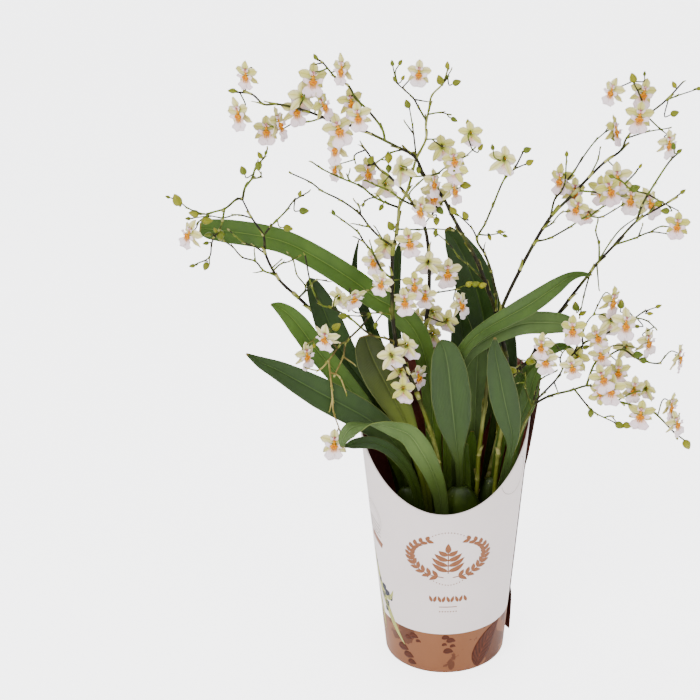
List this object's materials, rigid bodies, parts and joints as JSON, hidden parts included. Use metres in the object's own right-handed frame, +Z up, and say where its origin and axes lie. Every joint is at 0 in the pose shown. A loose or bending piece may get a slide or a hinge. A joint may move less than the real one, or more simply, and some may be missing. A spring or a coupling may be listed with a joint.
{
  "type": "potted oncidium orchid in a card sleeve",
  "caption": "Miniature orchid with strap leaves, pseudobulbs and branching sprays of small white flowers, in a plastic pot of bark inside a flared card sleeve.",
  "frame": {"origin": "centre of the sleeve's underside, on the table", "axes": "+Z up; the sleeve's low front edge faces -Y and its tall back is at +Y; +X to the viewer's right"},
  "size_m": [0.3881, 0.1395, 0.5019],
  "materials": {
    "card": "satin",
    "pot_plastic": "matte",
    "bark": "matte",
    "bulb": "satin",
    "leaf": "satin",
    "bloom": "matte"
  },
  "bodies": {
    "root": {"sleeve": "card", "pot": "pot_plastic", "bark": "bark", "bulb_front": "bulb", "bulb_right": "bulb", "bulb_left": "bulb", "bulb_back": "bulb", "leaf_arch": "leaf", "leaf_spotted": "leaf", "leaf_left": "leaf", "leaf_dark_left": "leaf", "leaf_olive": "leaf", "leaf_curled": "leaf", "leaf_small_left": "leaf", "leaf_front": "leaf", "leaf_bulb_tip": "leaf", "leaf_front_right": "leaf", "leaf_right": "leaf", "leaf_right_arch": "leaf", "leaf_dark_tall": "leaf", "leaf_dark_middle": "leaf", "leaf_blue_middle": "leaf", "leaf_round_middle": "leaf", "leaf_dark_right": "leaf", "leaf_bright_right": "leaf", "leaf_far_right": "leaf", "leaf_narrow_left": "leaf", "leaf_thin_left": "leaf", "spray_left": "bloom", "spray_centre": "bloom", "spray_rear": "bloom", "spray_arch": "bloom", "spray_right": "bloom", "spray_right_low": "bloom", "spray_low_right": "bloom"}
  },
  "joints": []
}
